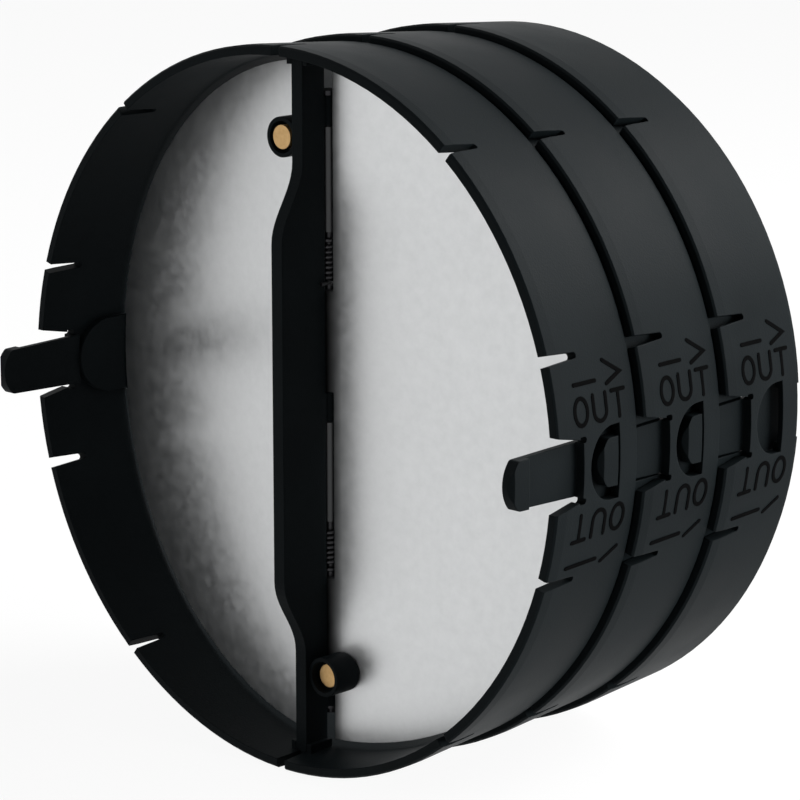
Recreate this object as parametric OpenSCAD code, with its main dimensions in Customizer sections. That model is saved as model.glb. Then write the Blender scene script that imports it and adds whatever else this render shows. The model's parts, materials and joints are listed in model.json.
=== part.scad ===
// Spring-closed backdraft valve for a round air duct
// Air comes in from -Y and leaves towards +Y, and the hinge of the two flaps stands upright along Z.
// Three rings snap together in a row. The front ring carries the crossbar with the hinge,
// the two half-moon flaps, their closing springs and the two magnets that hold the flaps shut.
// Collars behind the first two rings close the slits of the next ring from inside, and a cover
// inside each catch hole keeps the sleeve tight.
// Sizes named with "behind the rim" are measured along Y from the front rim of the front ring.

/* [Rings] */
// Outer radius of a ring at its front rim
rim_r = 75; // [70:0.5:90]
// How much smaller the outer radius is at the ring's rear edge
ring_taper = 1.3; // [0.9:0.1:2]
// Thickness of the ring wall
wall = 2; // [1.6:0.1:2.6]
// Length of a ring from its front rim to its rear edge
ring_len = 24.4; // [23:0.1:28]
// Open gap seen between a ring and the one behind it
ring_gap = 1.2; // [0.6:0.1:2]
// Length of the straight land behind the front rim
rim_land = 3; // [1:0.5:6]
// Bevel on the outer corner of the front rim
rim_bevel = 0.4; // [0.2:0.1:0.8]
// How far the rear ring's short register would reach into a further ring
register_reach = 0.6; // [0.3:0.1:1.5]
// Radial clearance of a register or collar in the ring behind it
register_fit = 0.3; // [0.1:0.05:0.4]
// How far the collar of the other two rings reaches past the slits that it covers
collar_cover = 0.7; // [0.3:0.1:1.5]
// Thickness of a collar at its free end
collar_t = 0.8; // [0.6:0.1:1.2]

/* [Rim slits] */
// Depth of a slit from the front rim
slit_depth = 8.6; // [6:0.1:9]
// Width of a slit at its mouth
slit_mouth = 2.3; // [1.6:0.1:3]
// Width of a slit at its round end
slit_end = 1.25; // [1.2:0.05:1.5]
// Angle of the first slit above and below a tongue
slit_angle_near = 17; // [12:0.5:25]
// Angle of the second slit above and below a tongue
slit_angle_far = 52; // [40:0.5:65]

/* [Snap tongues] */
// How far a tongue reaches ahead of the front rim
tongue_reach = 11.9; // [11:0.1:14]
// Width of a tongue near its tip
tongue_tip_w = 9.6; // [8:0.1:12]
// Width of a tongue where it leaves the ring
tongue_root_w = 10.7; // [9:0.1:13]
// Thickness of a tongue
tongue_t = 1.3; // [1:0.05:1.5]
// How far the outer face of a tongue lies inside the bore at the front rim
tongue_drop = 0.3; // [0.1:0.05:0.5]
// How far the middle of the curved tip reaches ahead of its corners
tongue_sag = 2.1; // [1.5:0.1:3]
// Radius of the rounded corners of a tongue's tip
tongue_corner = 1.2; // [0.6:0.1:2]
// Depth behind the rim at which a tongue comes out from under the wall
tongue_start = 7.7; // [5:0.1:8]
// Clearance of a tongue inside the ring ahead of it
tongue_fit = 0.15; // [0.1:0.05:0.4]
// Length of the raised catch at the tip of a tongue
catch_len = 5; // [3:0.1:6]
// Height of the catch above the tongue
catch_rise = 1.2; // [0.8:0.1:1.4]
// Length of the slope at the front of the catch
catch_lead = 0.8; // [0.4:0.1:1.5]
// Free play between a catch and the flat side of its hole
catch_play = 0.4; // [0.2:0.1:2]
// Room between a catch and the sides of its hole
catch_side_room = 2.6; // [1:0.1:3.5]
// Room between a catch and the curved front of its hole
catch_front_room = 3.9; // [1:0.1:5]
// Thickness of the cover inside a catch hole
cover_t = 0.55; // [0.4:0.05:0.8]
// Thickness of the walls that join a cover to the ring
cover_wall = 0.8; // [0.6:0.1:1.2]

/* [Crossbar] */
// Thickness of the crossbar
bar_t = 3; // [2.4:0.1:4]
// Depth of the crossbar's rear edge behind the rim
bar_rear = 12.2; // [11:0.1:14]
// Depth of the front edge behind the rim at the crossbar's ends
bar_end_front = 6; // [4:0.1:7]
// Distance inside the bore at which the front edge, level with the rim up to there, starts to curve back
bar_shoulder = 38; // [31:1:53]
// Length over which the front edge curves back to its ends
bar_curve_len = 16; // [8:1:20]
// Clearance between the crossbar and the ring that holds it
bar_fit = 0.15; // [0.1:0.05:0.3]
// Width of each guide rib beside the crossbar's ends
guide_w = 1.2; // [0.8:0.1:2]
// Height of the guide ribs above the ring's inner wall
guide_h = 1.6; // [0.8:0.1:2]
// Thickness of the key at each end of the crossbar, which sits in a slit
key_t = 0.9; // [0.6:0.05:1]
// Length of the key along the duct
key_len = 1.8; // [1:0.1:3]

/* [Magnets] */
// Radius of a magnet
magnet_r = 2.45; // [2:0.05:3]
// Length of a magnet
magnet_len = 4; // [3:0.1:4.2]
// Clearance of a magnet in its boss
magnet_fit = 0.03; // [0.02:0.01:0.1]
// Distance of a magnet's axis inside the bore
magnet_inset = 17.4; // [15:0.1:25]
// Wall of a boss around its wider front recess
boss_wall = 0.85; // [0.6:0.05:1.5]
// How much wider than the magnet the front recess is
boss_recess_step = 0.85; // [0.4:0.05:1.2]
// Depth of the front recess
boss_recess_depth = 2.2; // [1:0.1:3]
// Depth of the boss faces behind the rim
boss_front = 7; // [6:0.1:8]
// How deep the lower magnet sits behind its boss face
lower_magnet_sunk = 1.5; // [0.5:0.1:1.5]
// Height of the web that joins a boss to the crossbar
web_h = 5; // [3:0.5:7]

/* [Hinge] */
// Radius of the hinge pin
pin_r = 1.5; // [1:0.1:1.8]
// Running clearance of the flap knuckles on the pin
pin_run = 0.06; // [0.03:0.01:0.1]
// Clearance of the pin in the crossbar's lugs
pin_seat = 0.03; // [0.01:0.01:0.1]
// Room between the free end of the pin and the bore
hinge_end_room = 6.4; // [4.4:0.2:12.4]
// Height of each lug
lug_h = 6; // [4:0.5:8]
// Wall of a lug around the pin
lug_wall = 1.1; // [0.8:0.1:1.2]
// Room left along the pin between a spring and the knuckles beside it
spring_room = 1.3; // [0.6:0.1:3]
// End clearance between knuckles and lugs
knuckle_gap = 0.3; // [0.2:0.1:0.6]
// Clearance between the crossbar and the knuckles
knuckle_front_gap = 0.3; // [0.2:0.1:0.6]
// Thickness of the pin's head
head_t = 1; // [0.6:0.1:1.5]
// Thickness of the push-on clip under the lower lug
clip_t = 0.6; // [0.4:0.1:1]
// Free length of pin below the clip
pin_tail = 1.2; // [0.5:0.1:2]
// How much smaller in radius the pin's head is than the lug below it
head_step = 0.2; // [0:0.1:0.6]

/* [Flaps] */
// Thickness of the flap sheet
flap_t = 0.8; // [0.5:0.05:1]
// Angle by which the closed flaps sweep back
flap_sweep = 7.5; // [5:0.1:9]
// Gap between the flap edge and the narrowest part of the ring
flap_edge_gap = 0.7; // [0.5:0.1:1.2]
// Distance of the flap's straight inner edge from the hinge axis
flap_inner = 2.8; // [2.7:0.1:3.6]
// Clearance of a closed flap ahead to its boss and around the tongue that it passes
flap_clear = 0.3; // [0.2:0.05:0.5]

/* [Springs] */
// Radius of the spring wire
wire_r = 0.4; // [0.3:0.02:0.45]
// Clearance of the coil around the pin
coil_clear = 0.35; // [0.2:0.05:0.4]
// Number of turns of the coil
coil_turns = 7; // [4:1:9]
// Distance from one turn to the next
coil_pitch = 1.05; // [1:0.05:1.3]
// Height of the first turn above and below the duct's axis
coil_z = 26; // [22:0.5:30]
// Distance from the hinge axis at which the moving leg touches its flap
leg_touch = 16; // [10:0.5:22]
// Length of the fixed leg beside the crossbar
fixed_leg = 4.6; // [4:0.1:6]
// Gap between the coil and the end turn that carries the moving leg
end_turn_gap = 0.4; // [0.3:0.05:0.8]

/* [Hidden] */
$fn = 96;
cut = 1;
// A hair's breadth, where two faces would otherwise lie in one plane or touch.
hair = 0.05;
// How far the foot of a tongue runs on under the wall.
foot_len = 1.5;
plastic = [0.13, 0.14, 0.15];
sheet_metal = [0.76, 0.77, 0.78];
steel = [0.2, 0.2, 0.21];
brass = [0.83, 0.66, 0.38];

// The rings stand one pitch apart, and the origin is the middle of the whole length on the duct axis.
ring_pitch = ring_len + ring_gap;
register_len = ring_gap + register_reach;
total_rear = 2 * ring_pitch + ring_len + register_len;
front_y = (tongue_reach - total_rear) / 2;

// The bore narrows with the outside, so that the wall keeps its thickness.
bore_front_r = rim_r - wall;
bore_rear_r = bore_front_r - ring_taper;
register_r = bore_front_r - register_fit;
collar_reach = slit_depth + collar_cover;
function outer_r(y) = rim_r - ring_taper * (y - rim_land) / (ring_len - rim_land);
function bore_r(y) = bore_front_r - ring_taper * y / ring_len;

// A tongue slips between the wall of the ring ahead and a cover there, and its catch rises into the hole.
tongue_out_r = bore_front_r - tongue_drop;
tongue_in_r = tongue_out_r - tongue_t;
catch_r = tongue_out_r + catch_rise;
channel_r = tongue_out_r + tongue_fit;
channel_half = tongue_root_w / 2 + 2 * tongue_fit;
cover_out_r = tongue_in_r - tongue_fit;
cover_in_r = cover_out_r - cover_t;
hole_half_w = tongue_tip_w / 2 + catch_side_room;
hole_flat_y = ring_pitch - tongue_reach + catch_len + catch_play;
hole_front_y = ring_pitch - tongue_reach - catch_front_room;
slot_end_z = tongue_root_w / 2 + slit_end / 2;
slot_mouth_z = slot_end_z - slit_end / 2 + slit_mouth;
slit_round_y = slit_depth - slit_end / 2;

// Radii between which a cutter passes right through the wall.
cutter_in_r = cover_in_r - wall;
cutter_out_r = rim_r + wall;

// The knuckles stand just behind the crossbar, and the flap sheet runs off their front side.
knuckle_r = pin_r + pin_run + flap_t;
hinge_y = bar_rear + knuckle_front_gap + knuckle_r;
lug_r = pin_r + pin_seat + lug_wall;
hinge_half = bore_r(hinge_y) - hinge_end_room - pin_tail - clip_t;
flap_r = bore_rear_r - flap_edge_gap;
notch_r = cover_in_r - flap_clear;
notch_half = hole_half_w + cover_wall + flap_clear;

// The key at each end of the crossbar starts inside the bar and ends just under the ring's outside.
key_in_r = bore_rear_r;
key_out_r = outer_r(slit_depth) - 2 * bar_fit;

bar_mid_half = bore_front_r - bar_shoulder;
magnet_z = bore_front_r - magnet_inset;
recess_r = magnet_r + boss_recess_step;
boss_r = recess_r + boss_wall;
magnet_x = bar_t / 2 + boss_r - bar_fit;

coil_r = pin_r + coil_clear + wire_r;
end_turn_z = coil_z + coil_pitch * coil_turns + 2 * wire_r + end_turn_gap;
upper_knuckle = [end_turn_z + wire_r + spring_room, hinge_half - lug_h - knuckle_gap];
lower_knuckle = [-coil_z + wire_r + spring_room, -lug_h / 2 - knuckle_gap];
leg_back = flap_t - knuckle_r + wire_r + hair;

// Moves a piece that is drawn from the front rim into the part's own frame.
module placed(back = 0) {
    translate([0, front_y + back, 0]) children();
}

// The same piece on the other flap's side, turned half round the duct axis.
module turned() {
    rotate([0, 180, 0]) children();
}

// Turns a profile of [radius, depth] round the duct axis.
module turn_profile(points) {
    rotate([-90, 0, 0]) rotate_extrude($fn = 180) polygon(points);
}

// Cuts or makes an outline of [depth, height] through one side of the ring, at an angle from +X.
module through_side(angle, from_r, to_r) {
    rotate([0, -angle, 0]) translate([from_r, 0, 0]) rotate([90, 0, 90])
        linear_extrude(to_r - from_r) children();
}

module slit_outline() {
    polygon([[-cut, -slit_mouth / 2], [slit_round_y, -slit_end / 2],
        [slit_round_y, slit_end / 2], [-cut, slit_mouth / 2]]);
    translate([slit_round_y, 0]) circle(slit_end / 2, $fn = 24);
}

// The open slot round a tongue: its own bed, and a slit on each side that runs a little deeper.
module slot_outline() {
    polygon([[-cut, -slot_mouth_z], [tongue_start, -slot_end_z], [tongue_start, slot_end_z],
        [-cut, slot_mouth_z]]);
    for (side = [-1, 1]) {
        polygon([[tongue_start - cut, side * tongue_root_w / 2], [slit_round_y, side * tongue_root_w / 2],
            [slit_round_y, side * (slot_end_z + slit_end / 2)],
            [tongue_start - cut, side * (slot_end_z + slit_end / 2)]]);
        translate([slit_round_y, side * slot_end_z]) circle(slit_end / 2, $fn = 24);
    }
}

// A strip with a curved tip. The corner circles touch both the tip's arc and the sides.
module tongue_outline() {
    half = tongue_tip_w / 2;
    tip_r = (half * half + tongue_sag * tongue_sag) / (2 * tongue_sag);
    corner_z = half - tongue_corner;
    spoke = tip_r - tongue_corner;
    corner_y = tip_r - tongue_reach - sqrt(spoke * spoke - corner_z * corner_z);
    arc_z = corner_z * tip_r / spoke;
    polygon([[slit_depth + foot_len, -tongue_root_w / 2], [slit_depth + foot_len, tongue_root_w / 2],
        [corner_y, half], [corner_y, -half]]);
    intersection() {
        translate([tip_r - tongue_reach, 0]) circle(tip_r, $fn = 96);
        translate([-tongue_reach - cut, -arc_z]) square([corner_y + tongue_reach + 2 * cut, 2 * arc_z]);
    }
    for (side = [-1, 1])
        translate([corner_y, side * corner_z]) circle(tongue_corner, $fn = 32);
}

// The outline of a catch hole: round on its front side, and open towards the rear up to a depth.
module hole_outline(margin, rear_y) {
    half = hole_half_w + margin;
    middle_y = hole_front_y + hole_half_w;
    intersection() {
        union() {
            translate([middle_y, 0]) circle(half, $fn = 64);
            translate([middle_y, -half]) square([2 * ring_len, 2 * half]);
        }
        translate([hole_front_y - margin - cut, -half - cut])
            square([rear_y - hole_front_y + margin + cut, 2 * (half + cut)]);
    }
}

// The shell of a ring, with a register or collar at its rear that reaches into the ring behind it.
module ring_shell(reach) {
    end_y = ring_pitch + reach;
    end_r = bore_r(reach) - register_fit;
    turn_profile([
        [bore_front_r, 0], [rim_r - rim_bevel, 0], [rim_r, rim_bevel], [rim_r, rim_land],
        [rim_r - ring_taper, ring_len], [register_r, ring_len], [register_r, ring_pitch],
        [end_r, end_y], [min(end_r - collar_t, bore_rear_r), end_y], [bore_rear_r, ring_len]
    ]);
}

// The block inside a catch hole that its cover and the cover's walls are left from. It runs on under the
// next ring's tongue, at the most to just before the cover of that ring.
module cover_block(angle, reach) {
    from_y = hole_front_y - 2 * cover_wall;
    end_y = ring_pitch + min(reach, hole_front_y - cover_wall - tongue_fit);
    behind_r = bore_r(reach) - register_fit - collar_t / 2;
    intersection() {
        turn_profile([[cover_in_r, from_y], [bore_r(from_y) + wall / 2, from_y],
            [bore_rear_r + wall / 2, ring_len - hair], [behind_r, ring_len - hair],
            [behind_r, end_y], [cover_in_r, end_y]]);
        through_side(angle, cutter_in_r, cutter_out_r) hole_outline(cover_wall, end_y);
    }
}

// The space over a cover: the catch hole itself, and the channel that the tongue slides in.
module cover_space(angle, reach) {
    end_y = ring_pitch + reach + cut;
    intersection() {
        turn_profile([[cover_out_r, 0], [cutter_out_r, 0], [cutter_out_r, ring_len], [cover_out_r, ring_len]]);
        through_side(angle, cutter_in_r, cutter_out_r) hole_outline(0, hole_flat_y);
    }
    intersection() {
        turn_profile([[cover_out_r, 0], [bore_front_r + hair, 0], [bore_rear_r + hair, ring_len],
            [bore_rear_r + hair, ring_len + hair], [cover_out_r, ring_len + hair]]);
        through_side(angle, cutter_in_r, cutter_out_r) hole_outline(0, ring_len + hair);
    }
    intersection() {
        turn_profile([[cover_out_r, 0], [channel_r, 0], [channel_r, end_y], [cover_out_r, end_y]]);
        through_side(angle, cutter_in_r, cutter_out_r) translate([hole_flat_y - cut, -channel_half])
            square([end_y - hole_flat_y + cut, 2 * channel_half]);
    }
}

// A springy tongue: a straight strip from under the wall, with a raised catch at its tip.
module tongue(angle) {
    foot_y = tongue_start + foot_len;
    intersection() {
        union() {
            turn_profile([
                [tongue_out_r, -tongue_reach], [tongue_out_r, tongue_start],
                [bore_r(tongue_start) + wall / 2, tongue_start + hair],
                [bore_r(foot_y) + wall / 2, foot_y], [tongue_in_r, foot_y], [tongue_in_r, -tongue_reach]
            ]);
            turn_profile([
                [tongue_out_r - tongue_t / 2, -tongue_reach], [tongue_out_r, -tongue_reach],
                [catch_r, -tongue_reach + catch_lead], [catch_r, -tongue_reach + catch_len],
                [tongue_out_r - tongue_t / 2, -tongue_reach + catch_len]
            ]);
        }
        through_side(angle, cutter_in_r, cutter_out_r) tongue_outline();
    }
}

// Two low ribs on the inner wall, which keep the end of the crossbar upright.
module guides() {
    inner = bore_r(bar_rear) - guide_h;
    intersection() {
        turn_profile([[inner, bar_end_front], [bore_r(bar_end_front) + wall / 2, bar_end_front],
            [bore_r(bar_rear) + wall / 2, bar_rear], [inner, bar_rear]]);
        for (side = [-1, 1])
            translate([side * (bar_t / 2 + bar_fit + guide_w / 2), (bar_end_front + bar_rear) / 2, 0])
                cube([guide_w, 2 * bar_rear, 3 * rim_r], center = true);
    }
}

module ring(reach) {
    difference() {
        union() {
            ring_shell(reach);
            for (angle = [0, 180]) cover_block(angle, reach);
        }
        for (angle = [slit_angle_near, slit_angle_far, 90, 180 - slit_angle_far, 180 - slit_angle_near])
            for (side = [-1, 1])
                through_side(side * angle, cutter_in_r, cutter_out_r) slit_outline();
        for (angle = [0, 180]) {
            through_side(angle, cutter_in_r, cutter_out_r) slot_outline();
            cover_space(angle, reach);
        }
    }
    for (angle = [0, 180]) tongue(angle);
}

module ring_front() {
    color(plastic) placed() {
        ring(collar_reach);
        guides();
    }
}

module ring_middle() {
    color(plastic) placed(ring_pitch) ring(collar_reach);
}

module ring_rear() {
    color(plastic) placed(2 * ring_pitch) ring(register_reach);
}

// Depth of the crossbar's front edge at a height: level with the rim in the middle, set back at the ends.
function bar_front(z) =
    let (s = max(0, min(1, (abs(z) - bar_mid_half) / bar_curve_len)))
    bar_end_front * (1 - cos(180 * s)) / 2;

module bar_outline() {
    steps = 12;
    curve = [for (i = [0:steps]) bar_mid_half + bar_curve_len * i / steps];
    upper = [for (z = curve) [bar_front(z), z]];
    lower = [for (i = [0:steps]) [bar_front(curve[steps - i]), -curve[steps - i]]];
    polygon(concat([[bar_end_front, -rim_r]], lower, upper, [[bar_end_front, rim_r]],
        [[bar_rear, rim_r], [bar_rear, -rim_r]]));
}

// The space inside the front ring, less a clearance.
module bore_space(clearance) {
    turn_profile([[0, -cut], [bore_r(-cut) - clearance, -cut],
        [bore_r(ring_len) - clearance, ring_len], [0, ring_len]]);
}

// All that lies ahead of the closed flap's front face, less a clearance, on the left side.
module ahead_of_left_flap(clearance) {
    translate([0, hinge_y, 0]) rotate([0, 0, -flap_sweep])
        translate([-rim_r, -knuckle_r - clearance - 2 * bar_rear, -rim_r])
            cube([2 * rim_r, 2 * bar_rear, 2 * rim_r]);
}

// A boss on the side of the crossbar. Its rear face lies along the flap and stops it.
module left_boss() {
    intersection() {
        union() {
            translate([-magnet_x, boss_front, magnet_z]) rotate([-90, 0, 0])
                cylinder(h = 2 * bar_rear, r = boss_r);
            translate([-magnet_x, boss_front + boss_recess_depth / 2, magnet_z - web_h / 2])
                cube([magnet_x, 2 * bar_rear, web_h]);
        }
        ahead_of_left_flap(flap_clear);
    }
}

module left_boss_bore() {
    translate([-magnet_x, boss_front - cut, magnet_z]) rotate([-90, 0, 0]) {
        cylinder(h = 3 * bar_rear, r = magnet_r + magnet_fit);
        cylinder(h = boss_recess_depth + cut, r = recess_r);
    }
}

module lug(from_z) {
    translate([0, hinge_y, from_z]) cylinder(h = lug_h, r = lug_r);
    translate([-bar_t / 2, bar_rear - cut, from_z]) cube([bar_t, hinge_y - bar_rear + cut, lug_h]);
}

module crossbar_body() {
    intersection() {
        union() {
            rotate([90, 0, 90]) translate([0, 0, -bar_t / 2]) linear_extrude(bar_t) bar_outline();
            left_boss();
            turned() left_boss();
            for (from_z = [-hinge_half, -lug_h / 2, hinge_half - lug_h]) lug(from_z);
        }
        bore_space(bar_fit);
    }
    for (side = [-1, 1])
        translate([0, slit_round_y - key_len / 2, side * (key_out_r + key_in_r) / 2])
            cube([key_t, key_len, key_out_r - key_in_r], center = true);
}

module crossbar() {
    color(plastic) placed() difference() {
        crossbar_body();
        left_boss_bore();
        turned() left_boss_bore();
        translate([0, hinge_y, -rim_r]) cylinder(h = 2 * rim_r, r = pin_r + pin_seat);
    }
}

module left_magnet(sunk) {
    translate([-magnet_x, boss_front + sunk, magnet_z]) rotate([-90, 0, 0])
        cylinder(h = magnet_len, r = magnet_r);
}

module magnet_upper() {
    color(brass) placed() left_magnet(hair);
}

module magnet_lower() {
    color(brass) placed() turned() left_magnet(lower_magnet_sunk);
}

module hinge_pin() {
    bottom = -hinge_half - clip_t - pin_tail;
    color(steel) placed() translate([0, hinge_y, 0]) {
        translate([0, 0, bottom]) cylinder(h = hinge_half - bottom + head_t, r = pin_r);
        translate([0, 0, hinge_half]) cylinder(h = head_t, r = lug_r - head_step);
    }
}

module pin_clip() {
    color(steel) placed() translate([0, hinge_y, -hinge_half - clip_t]) difference() {
        cylinder(h = clip_t, r = lug_r);
        translate([0, 0, -cut]) cylinder(h = clip_t + 2 * cut, r = pin_r + pin_seat);
    }
}

// The left flap: a half-moon of sheet whose edge follows the duct, with two rolled knuckles.
// Its upper knuckle fills the hinge above the spring, and its lower one fills it below the middle lug.
module left_flap() {
    difference() {
        union() {
            intersection() {
                translate([0, hinge_y, 0]) rotate([0, 0, -flap_sweep])
                    translate([-rim_r - flap_inner, -knuckle_r, -rim_r])
                        cube([rim_r, flap_t, 2 * rim_r]);
                rotate([-90, 0, 0]) cylinder(h = ring_len, r = flap_r, $fn = 180);
            }
            translate([0, hinge_y, 0]) rotate([0, 0, -flap_sweep])
                for (span = [upper_knuckle, lower_knuckle]) translate([0, 0, span[0]]) {
                    cylinder(h = span[1] - span[0], r = knuckle_r);
                    translate([-flap_inner - cut, -knuckle_r, 0])
                        cube([flap_inner + cut, flap_t, span[1] - span[0]]);
                }
        }
        translate([0, hinge_y, -rim_r]) cylinder(h = 2 * rim_r, r = pin_r + pin_run);
        difference() {
            translate([-rim_r, 0, -notch_half]) cube([rim_r / 2, ring_len, 2 * notch_half]);
            translate([0, -cut, 0]) rotate([-90, 0, 0])
                cylinder(h = ring_len + 2 * cut, r = notch_r, $fn = 180);
        }
    }
}

module flap_left() {
    color(sheet_metal) placed() left_flap();
}

module flap_right() {
    color(sheet_metal) placed() turned() left_flap();
}

// A wire swept through stations of [x, y, z, angle], the angle being that of its inward side.
module wire(stations) {
    sides = 8;
    count = len(stations);
    points = [for (s = stations) for (k = [0:sides - 1])
        let (a = 360 * (k + 0.5) / sides)
        [s[0] + wire_r * cos(a) * cos(s[3]), s[1] + wire_r * cos(a) * sin(s[3]), s[2] + wire_r * sin(a)]];
    skin = [for (i = [0:count - 2]) for (k = [0:sides - 1])
        let (m = (k + 1) % sides)
        [i * sides + k, i * sides + m, (i + 1) * sides + m, (i + 1) * sides + k]];
    polyhedron(points, concat(skin, [[for (k = [0:sides - 1]) sides - 1 - k],
        [for (k = [0:sides - 1]) (count - 1) * sides + k]]), convexity = 6);
}

// The fixed coil of the upper spring, with its short leg along the right side of the crossbar.
module upper_spring() {
    per_turn = 24;
    leg = [[coil_r, -fixed_leg, coil_z, 0]];
    coil = [for (i = [0:per_turn * coil_turns])
        let (t = 360 * i / per_turn)
        [coil_r * cos(t), coil_r * sin(t), coil_z + coil_pitch * i / per_turn, t]];
    translate([0, hinge_y, 0]) wire(concat(leg, coil));
}

// The end turn and the moving leg, which leans on the rear face of the left flap.
module upper_spring_leg() {
    reach = norm([leg_touch, leg_back]);
    start = 180 + atan2(-leg_back, leg_touch) - acos(coil_r / reach);
    length = sqrt(reach * reach - coil_r * coil_r);
    translate([0, hinge_y, end_turn_z]) rotate([0, 0, -flap_sweep]) {
        rotate_extrude($fn = 48) translate([coil_r, 0]) circle(wire_r, $fn = 16);
        rotate([0, 0, start]) translate([coil_r, 0, 0]) rotate([-90, 0, 0])
            cylinder(h = length, r = wire_r, $fn = 16);
    }
}

module spring_upper() {
    color(steel) placed() upper_spring();
}

module spring_lower() {
    color(steel) placed() turned() upper_spring();
}

module spring_leg_upper() {
    color(steel) placed() upper_spring_leg();
}

module spring_leg_lower() {
    color(steel) placed() turned() upper_spring_leg();
}

ring_front();
ring_middle();
ring_rear();
crossbar();
magnet_upper();
magnet_lower();
hinge_pin();
pin_clip();
flap_left();
flap_right();
spring_upper();
spring_lower();
spring_leg_upper();
spring_leg_lower();
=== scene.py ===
"""A spring-closed backdraft valve for a round air duct, on a pale floor in soft studio light."""

import json
from math import cos, radians, sin

import bmesh
import bpy
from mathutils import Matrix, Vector


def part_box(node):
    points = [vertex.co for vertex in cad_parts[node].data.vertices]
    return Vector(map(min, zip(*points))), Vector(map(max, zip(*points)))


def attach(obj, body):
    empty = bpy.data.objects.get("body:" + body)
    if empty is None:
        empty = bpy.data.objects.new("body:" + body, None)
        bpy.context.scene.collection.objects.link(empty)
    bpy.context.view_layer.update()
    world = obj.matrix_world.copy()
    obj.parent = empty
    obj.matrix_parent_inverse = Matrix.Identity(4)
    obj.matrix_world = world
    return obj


MM = 0.001
RINGS = ("ring_front", "ring_middle", "ring_rear")

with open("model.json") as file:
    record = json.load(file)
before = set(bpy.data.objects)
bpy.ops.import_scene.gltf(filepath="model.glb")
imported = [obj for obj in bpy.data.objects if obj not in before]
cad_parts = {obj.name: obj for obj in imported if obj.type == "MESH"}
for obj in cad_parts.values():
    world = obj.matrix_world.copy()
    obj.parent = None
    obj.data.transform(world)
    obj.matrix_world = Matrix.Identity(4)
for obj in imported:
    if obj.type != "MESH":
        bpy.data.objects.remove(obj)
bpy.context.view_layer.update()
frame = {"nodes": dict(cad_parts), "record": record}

# Sizes taken from the frame. A ring's tongues reach ahead of its rim, so the front rim's place is
# found from the crossbar, which ends flush with it.
rim_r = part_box("ring_front")[1][2]
front_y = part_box("crossbar")[0][1]
ring_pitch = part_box("ring_middle")[0][1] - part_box("ring_front")[0][1]
floor_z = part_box("ring_front")[0][2]

# The hinge stands midway between the ends of its pin's box, and the flaps' knuckles are rolled
# round it.
pin_low, pin_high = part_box("hinge_pin")
hinge_y = (pin_low[1] + pin_high[1]) / 2
KNUCKLE_R = 2.36 * MM

# The rings' outside narrows from the end of the rim's straight land to their rear edge.
LAND = 3.0 * MM
RING_LEN = 24.4 * MM
TAPER = 1.3 * MM


def wall_r(depth):
    """Outer radius of a ring at a depth behind its front rim."""
    return rim_r - TAPER * max(0.0, depth - LAND) / (RING_LEN - LAND)


# Materials

NOISE_LOW = 0.32
NOISE_HIGH = 0.68
BEVEL_SAMPLES = 6

# Painted shade: the flaps' colour is darkened on the knuckles, where the crossbar shades the hinge,
# and fades out over a short way round them.
PAINTED_SHADE_FROM = KNUCKLE_R + 0.2 * MM
PAINTED_SHADE_TO = KNUCKLE_R + 3.0 * MM
PAINTED_SHADE_COLOUR = (0.045, 0.046, 0.047, 1.0)


def node_material(name):
    """A new node material, its tree and its shader."""
    material = bpy.data.materials.new(name)
    material.use_nodes = True
    tree = material.node_tree
    tree.nodes.clear()
    output = tree.nodes.new("ShaderNodeOutputMaterial")
    shader = tree.nodes.new("ShaderNodeBsdfPrincipled")
    tree.links.new(shader.outputs["BSDF"], output.inputs["Surface"])
    return material, tree, shader


def noise(tree, scale, detail=2.0, roughness=0.5, stretch=(1.0, 1.0, 1.0)):
    """A noise texture in object coordinates, scale in cells per metre."""
    coordinates = tree.nodes.new("ShaderNodeTexCoord")
    mapping = tree.nodes.new("ShaderNodeMapping")
    mapping.inputs["Scale"].default_value = stretch
    texture = tree.nodes.new("ShaderNodeTexNoise")
    texture.inputs["Scale"].default_value = scale
    texture.inputs["Detail"].default_value = detail
    texture.inputs["Roughness"].default_value = roughness
    tree.links.new(coordinates.outputs["Object"], mapping.inputs["Vector"])
    tree.links.new(mapping.outputs["Vector"], texture.inputs["Vector"])
    return texture.outputs["Fac"]


def ramp(tree, fac, low, high):
    """A colour that goes from low to high over the middle range of a noise."""
    node = tree.nodes.new("ShaderNodeValToRGB")
    places = (NOISE_LOW, NOISE_HIGH)
    for element, place, colour in zip(node.color_ramp.elements, places, (low, high)):
        element.position = place
        element.color = (*colour, 1.0)
    tree.links.new(fac, node.inputs["Fac"])
    return node.outputs["Color"]


def spread(tree, fac, low, high):
    """The middle range of a noise, stretched to low..high."""
    node = tree.nodes.new("ShaderNodeMapRange")
    node.inputs["From Min"].default_value = NOISE_LOW
    node.inputs["From Max"].default_value = NOISE_HIGH
    node.inputs["To Min"].default_value = low
    node.inputs["To Max"].default_value = high
    tree.links.new(fac, node.inputs["Value"])
    return node.outputs["Result"]


def rounded_grain(tree, shader, fac, strength, distance, edge_r):
    """Gives the shader a fine bump, over edges that look rounded with a radius of edge_r."""
    bevel = tree.nodes.new("ShaderNodeBevel")
    bevel.samples = BEVEL_SAMPLES
    bevel.inputs["Radius"].default_value = edge_r
    bump = tree.nodes.new("ShaderNodeBump")
    bump.inputs["Strength"].default_value = strength
    bump.inputs["Distance"].default_value = distance
    tree.links.new(fac, bump.inputs["Height"])
    tree.links.new(bevel.outputs["Normal"], bump.inputs["Normal"])
    tree.links.new(bump.outputs["Normal"], shader.inputs["Normal"])


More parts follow.
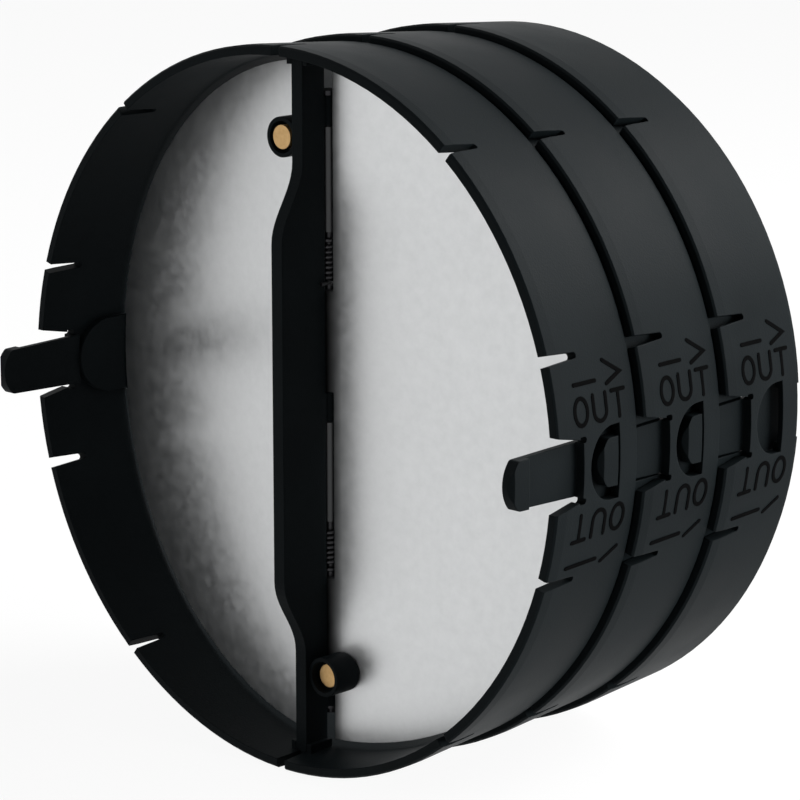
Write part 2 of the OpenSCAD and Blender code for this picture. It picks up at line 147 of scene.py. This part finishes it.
def black_plastic():
    """Black moulded plastic with a fine satin grain."""
    material, tree, shader = node_material("black moulded plastic")
    cloud = noise(tree, scale=55.0, detail=3.0)
    colour = ramp(tree, cloud, low=(0.0058, 0.0082, 0.0093), high=(0.0083, 0.0112, 0.0125))
    tree.links.new(colour, shader.inputs["Base Color"])
    tree.links.new(spread(tree, cloud, low=0.44, high=0.52), shader.inputs["Roughness"])
    shader.inputs["Specular IOR Level"].default_value = 0.03
    grain = noise(tree, scale=2600.0, detail=1.0)
    rounded_grain(tree, shader, grain, strength=0.25, distance=0.12 * MM, edge_r=0.30 * MM)
    return material


def mark_plastic_painted_shade():
    """The moulded flow marks' dull face, made much darker than the wall as painted shade along
    their strokes.
    """
    material, tree, shader = node_material("flow mark plastic")
    cloud = noise(tree, scale=400.0)
    # Painted shade: the strokes' colour is far darker than the wall's plastic.
    colour = ramp(tree, cloud, low=(0.0008, 0.0009, 0.0010), high=(0.0012, 0.0013, 0.0014))
    tree.links.new(colour, shader.inputs["Base Color"])
    shader.inputs["Roughness"].default_value = 0.85
    shader.inputs["Specular IOR Level"].default_value = 0.02
    return material


def near_hinge(tree):
    """The mask of the flaps' painted shade: one on the knuckles round the hinge axis, falling to
    zero outside them.
    """
    coordinates = tree.nodes.new("ShaderNodeTexCoord")
    offset = tree.nodes.new("ShaderNodeVectorMath")
    offset.operation = "SUBTRACT"
    offset.inputs[1].default_value = (0.0, hinge_y, 0.0)
    flat = tree.nodes.new("ShaderNodeVectorMath")
    flat.operation = "MULTIPLY"
    flat.inputs[1].default_value = (1.0, 1.0, 0.0)
    length = tree.nodes.new("ShaderNodeVectorMath")
    length.operation = "LENGTH"
    fade = tree.nodes.new("ShaderNodeMapRange")
    fade.inputs["From Min"].default_value = PAINTED_SHADE_FROM
    fade.inputs["From Max"].default_value = PAINTED_SHADE_TO
    fade.inputs["To Min"].default_value = 1.0
    fade.inputs["To Max"].default_value = 0.0
    tree.links.new(coordinates.outputs["Object"], offset.inputs[0])
    tree.links.new(offset.outputs["Vector"], flat.inputs[0])
    tree.links.new(flat.outputs["Vector"], length.inputs[0])
    tree.links.new(length.outputs["Value"], fade.inputs["Value"])
    return fade.outputs["Result"]


def flap_sheet():
    """Light grey zinc-coated sheet: satin, faintly mottled, with painted shade on its knuckles."""
    material, tree, shader = node_material("zinc coated sheet")
    mottle = noise(tree, scale=420.0, detail=4.0, roughness=0.62)
    unshaded_sheet = ramp(tree, mottle, low=(0.61, 0.62, 0.625), high=(0.66, 0.67, 0.675))
    # Painted shade: the sheet's colour is mixed to dark grey on the knuckles, where the crossbar
    # shades the hinge.
    painted_shade = tree.nodes.new("ShaderNodeMix")
    painted_shade.data_type = "RGBA"
    painted_shade.inputs["B"].default_value = PAINTED_SHADE_COLOUR
    tree.links.new(near_hinge(tree), painted_shade.inputs["Factor"])
    tree.links.new(unshaded_sheet, painted_shade.inputs["A"])
    tree.links.new(painted_shade.outputs["Result"], shader.inputs["Base Color"])
    shader.inputs["Metallic"].default_value = 0.95
    tree.links.new(spread(tree, mottle, low=0.32, high=0.39), shader.inputs["Roughness"])
    grain = noise(tree, scale=1500.0)
    rounded_grain(tree, shader, grain, strength=0.10, distance=0.05 * MM, edge_r=0.15 * MM)
    return material


def magnet_plating():
    """Brass-coloured plating with a satin face."""
    material, tree, shader = node_material("brass coloured plating")
    cloud = noise(tree, scale=900.0, detail=3.0)
    colour = ramp(tree, cloud, low=(0.44, 0.28, 0.12), high=(0.54, 0.36, 0.17))
    tree.links.new(colour, shader.inputs["Base Color"])
    shader.inputs["Metallic"].default_value = 1.0
    tree.links.new(spread(tree, cloud, low=0.46, high=0.56), shader.inputs["Roughness"])
    rounded_grain(tree, shader, cloud, strength=0.15, distance=0.05 * MM, edge_r=0.25 * MM)
    return material


def drawn_steel(name, dark, light, smooth, rough):
    """Blackened drawn steel with faint draw lines along Z, its roughness from smooth to rough. Part
    of its darkness is painted shade, where the crossbar shades the hinge.
    """
    material, tree, shader = node_material(name)
    lines = noise(tree, scale=1800.0, stretch=(1.0, 1.0, 0.03))
    tree.links.new(ramp(tree, lines, dark, light), shader.inputs["Base Color"])
    shader.inputs["Metallic"].default_value = 1.0
    tree.links.new(spread(tree, lines, smooth, rough), shader.inputs["Roughness"])
    rounded_grain(tree, shader, lines, strength=0.10, distance=0.04 * MM, edge_r=0.10 * MM)
    return material


def pin_steel():
    """The hinge pin's and its clip's steel."""
    # Part of this steel's darkness is painted shade, where the crossbar shades the hinge.
    return drawn_steel(
        "blackened pin steel",
        dark=(0.026, 0.026, 0.028), light=(0.040, 0.040, 0.042), smooth=0.29, rough=0.40,
    )


def spring_wire():
    """The springs' steel."""
    # Part of this wire's darkness is painted shade, where the crossbar shades the hinge.
    return drawn_steel(
        "spring wire",
        dark=(0.026, 0.026, 0.028), light=(0.042, 0.042, 0.044), smooth=0.31, rough=0.42,
    )


def dress_nodes():
    """Gives every node of the frame its material."""
    finishes = {
        "black_plastic": black_plastic(),
        "magnet_plating": magnet_plating(),
        "pin_steel": pin_steel(),
        "flap_sheet": flap_sheet(),
        "spring_wire": spring_wire(),
    }
    for entry in frame["record"]["subparts"]:
        for place in frame["nodes"][entry["node"]].material_slots:
            place.material = finishes[entry["material_slot"]]


# Flow marks: the word OUT and an arrow above and below each catch hole, as moulded strokes on the
# wall. A stroke is a line of (depth behind the rim, height round the wall), in mm.

LETTER_W = 3.9
LETTER_H = 5.2
LETTER_STEP = 5.9
LETTER_START = 5.6
LETTER_BASE = 8.8
ROUND_STEPS = 30
CUP_STEPS = 14
UPPER_ARROW = (
    [(6.2, 16.7), (12.8, 16.7)],
    [(16.0, 20.2), (20.8, 17.4), (16.3, 15.6)],
)
LOWER_ARROW = (
    [(5.2, -19.3), (14.5, -19.3)],
    [(16.4, -20.3), (20.9, -18.0)],
)

STROKE_HALF = 0.42
STROKE_RISE = 0.10
STROKE_ROOT = 0.30
CAP_ANGLES = (30, 60, 85)
SAME_POINT = STROKE_HALF / 10
SHARPEST_TURN = 0.35


def arc(centre, half_w, half_h, start, end, steps):
    """Points of an ellipse's arc, with the angles in degrees."""
    angles = [radians(start + (end - start) * i / steps) for i in range(steps + 1)]
    return [(centre[0] + half_w * cos(a), centre[1] + half_h * sin(a)) for a in angles]


def word_strokes():
    """The word OUT from its lower left corner."""
    half_w, half_h = LETTER_W / 2, LETTER_H / 2
    u_left, t_left = LETTER_STEP, 2 * LETTER_STEP
    u_right, t_middle = u_left + LETTER_W, t_left + half_w
    cup = arc((u_left + half_w, half_w), half_w, half_w, 180, 360, CUP_STEPS)
    return [
        arc((half_w, half_h), half_w, half_h, 0, 360, ROUND_STEPS),
        [(u_left, LETTER_H)] + cup + [(u_right, LETTER_H)],
        [(t_left, LETTER_H), (t_left + LETTER_W, LETTER_H)],
        [(t_middle, LETTER_H), (t_middle, 0)],
    ]


def mark_strokes():
    """All strokes on one side of a ring: an upright mark above the hole, a turned one below it."""
    word = word_strokes()
    word_end = LETTER_START + 2 * LETTER_STEP + LETTER_W
    upper = [[(LETTER_START + u, LETTER_BASE + v) for u, v in line] for line in word]
    lower = [[(word_end - u, -LETTER_BASE - v) for u, v in line] for line in word]
    return [*upper, *lower, *UPPER_ARROW, *LOWER_ARROW]


def on_wall(point, rim_y, side, rise):
    """A point of a mark, laid on a ring's wall."""
    depth, height = point[0] * MM, point[1] * MM
    radius = wall_r(depth) + rise * MM
    angle = height / rim_r
    return Vector((side * radius * cos(angle), rim_y + depth, side * radius * sin(angle)))


def end_cap(end, inner):
    """Edge pairs that round off a stroke's end, from its full width to its tip."""
    along = (end - inner).normalized()
    across = Vector((-along.y, along.x))
    pairs = []
    for angle in CAP_ANGLES:
        a = radians(angle)
        ahead = end + along * (STROKE_HALF * sin(a))
        aside = across * (STROKE_HALF * cos(a))
        pairs.append((ahead + aside, ahead - aside))
    return pairs


def ribbon(line):
    """The left and right edges of a stroke with round ends."""
    points = [Vector(p) for p in line]
    closed = (points[0] - points[-1]).length < SAME_POINT
    edges = []
    for i, point in enumerate(points):
        before = points[i - 1] if i else (points[-2] if closed else point)
        after = points[i + 1] if i + 1 < len(points) else (points[1] if closed else point)
        into = (point - before).normalized()
        out = (after - point).normalized()
        along = (into + out).normalized()
        turn = max(SHARPEST_TURN, along.dot(out) if out.length else along.dot(into))
        across = Vector((-along.y, along.x)) * (STROKE_HALF / turn)
        edges.append((point + across, point - across))
    if closed:
        return edges
    return end_cap(points[0], points[1])[::-1] + edges + end_cap(points[-1], points[-2])


def stroke_solid(work, line, rim_y, side):
    """One stroke as a closed solid that stands a little proud of the wall."""
    rows = []
    for left, right in ribbon(line):
        rows.append([
            work.verts.new(on_wall(left, rim_y, side, STROKE_RISE)),
            work.verts.new(on_wall(right, rim_y, side, STROKE_RISE)),
            work.verts.new(on_wall(right, rim_y, side, -STROKE_ROOT)),
            work.verts.new(on_wall(left, rim_y, side, -STROKE_ROOT)),
        ])
    for a, b in zip(rows, rows[1:]):
        for k in range(4):
            m = (k + 1) % 4
            work.faces.new((a[k], a[m], b[m], b[k]))
    work.faces.new(rows[0][::-1])
    work.faces.new(rows[-1])


def flow_marks(material):
    """The marks on both sides of every ring, one piece a ring."""
    for index, ring in enumerate(RINGS):
        work = bmesh.new()
        for side in (1, -1):
            for line in mark_strokes():
                stroke_solid(work, line, front_y + index * ring_pitch, side)
        bmesh.ops.recalc_face_normals(work, faces=work.faces)
        mesh = bpy.data.meshes.new("flow marks of " + ring)
        work.to_mesh(mesh)
        work.free()
        mesh.materials.append(material)
        piece = bpy.data.objects.new("flow_marks_" + ring, mesh)
        bpy.context.collection.objects.link(piece)
        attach(piece, "sleeve")


# Stage

CAMERA_PLACE = Vector((0.46432, -0.48517, 0.15030))
CAMERA_LOOK = Vector((-0.67209, 0.70667, -0.22116))
CAMERA_LENS = 148.02
CAMERA_SENSOR = 36.0
CAMERA_NEAR = 0.01

WHITE = (1.0, 1.0, 1.0, 1.0)
WORLD_LIGHT = 0.03

FLOOR_R = 3.0
FLOOR_SIDES = 96
FLOOR_COLOUR = (0.70, 0.70, 0.70, 1.0)
FLOOR_ROUGHNESS = 0.9
FLOOR_GLOW = 1.13
FLOOR_GLOW_SHARE = 0.82


def aim(thing, look):
    """Turns a camera or lamp so that it looks along a direction, with Z up in its picture."""
    thing.rotation_euler = look.to_track_quat("-Z", "Y").to_euler()


def make_camera():
    """The photograph's camera."""
    data = bpy.data.cameras.new("camera")
    data.lens = CAMERA_LENS
    data.sensor_width = CAMERA_SENSOR
    data.clip_start = CAMERA_NEAR
    camera = bpy.data.objects.new("camera", data)
    camera.location = CAMERA_PLACE
    aim(camera, CAMERA_LOOK)
    bpy.context.collection.objects.link(camera)
    bpy.context.scene.camera = camera


def softbox(name, place, width, height, power):
    """A rectangular area lamp that faces the valve's middle."""
    data = bpy.data.lights.new(name, "AREA")
    data.shape = "RECTANGLE"
    data.size = width
    data.size_y = height
    data.energy = power
    lamp = bpy.data.objects.new(name, data)
    lamp.location = place
    aim(lamp, -Vector(place))
    bpy.context.collection.objects.link(lamp)


def light_scene():
    """A weak light before the inlet and two stronger ones, from above behind and from the right."""
    softbox("key", (-0.30, -1.10, 0.45), width=0.5, height=0.5, power=1.5)
    softbox("top", (0.40, 0.75, 0.60), width=0.6, height=0.6, power=10.0)
    softbox("side", (1.0, 0.45, 0.05), width=0.6, height=0.5, power=12.0)


def straight_rays(tree):
    """A factor that is one for rays from the camera, from gloss and through glass."""
    path = tree.nodes.new("ShaderNodeLightPath")
    total = path.outputs["Is Camera Ray"]
    for ray in ("Is Glossy Ray", "Is Transmission Ray"):
        both = tree.nodes.new("ShaderNodeMath")
        both.operation = "MAXIMUM"
        tree.links.new(total, both.inputs[0])
        tree.links.new(path.outputs[ray], both.inputs[1])
        total = both.outputs["Value"]
    return total


def make_world():
    """A dim world that the camera and gloss see as white."""
    world = bpy.data.worlds.new("studio")
    bpy.context.scene.world = world
    world.use_nodes = True
    tree = world.node_tree
    tree.nodes.clear()
    plain = tree.nodes.new("ShaderNodeBackground")
    plain.inputs["Color"].default_value = WHITE
    plain.inputs["Strength"].default_value = WORLD_LIGHT
    white = tree.nodes.new("ShaderNodeBackground")
    white.inputs["Color"].default_value = WHITE
    mix = tree.nodes.new("ShaderNodeMixShader")
    output = tree.nodes.new("ShaderNodeOutputWorld")
    tree.links.new(straight_rays(tree), mix.inputs["Fac"])
    tree.links.new(plain.outputs["Background"], mix.inputs[1])
    tree.links.new(white.outputs["Background"], mix.inputs[2])
    tree.links.new(mix.outputs["Shader"], output.inputs["Surface"])


def floor_material():
    """A pale floor. Most of what the camera sees is its own white, and the rest takes shadow."""
    material, tree, shader = node_material("pale floor")
    shader.inputs["Base Color"].default_value = FLOOR_COLOUR
    shader.inputs["Roughness"].default_value = FLOOR_ROUGHNESS
    glow = tree.nodes.new("ShaderNodeEmission")
    glow.inputs["Strength"].default_value = FLOOR_GLOW
    share = tree.nodes.new("ShaderNodeMath")
    share.operation = "MULTIPLY"
    share.inputs[1].default_value = FLOOR_GLOW_SHARE
    mix = tree.nodes.new("ShaderNodeMixShader")
    output = next(n for n in tree.nodes if n.type == "OUTPUT_MATERIAL")
    tree.links.new(straight_rays(tree), share.inputs[0])
    tree.links.new(share.outputs["Value"], mix.inputs["Fac"])
    tree.links.new(shader.outputs["BSDF"], mix.inputs[1])
    tree.links.new(glow.outputs["Emission"], mix.inputs[2])
    tree.links.new(mix.outputs["Shader"], output.inputs["Surface"])
    return material


def make_floor():
    """A round floor under the valve."""
    work = bmesh.new()
    bmesh.ops.create_circle(work, cap_ends=True, radius=FLOOR_R, segments=FLOOR_SIDES)
    mesh = bpy.data.meshes.new("floor")
    work.to_mesh(mesh)
    work.free()
    mesh.materials.append(floor_material())
    floor = bpy.data.objects.new("floor", mesh)
    floor.location = (0.0, 0.0, floor_z)
    bpy.context.collection.objects.link(floor)


dress_nodes()
flow_marks(mark_plastic_painted_shade())
make_camera()
light_scene()
make_world()
make_floor()

bpy.context.scene.view_settings.view_transform = "Standard"
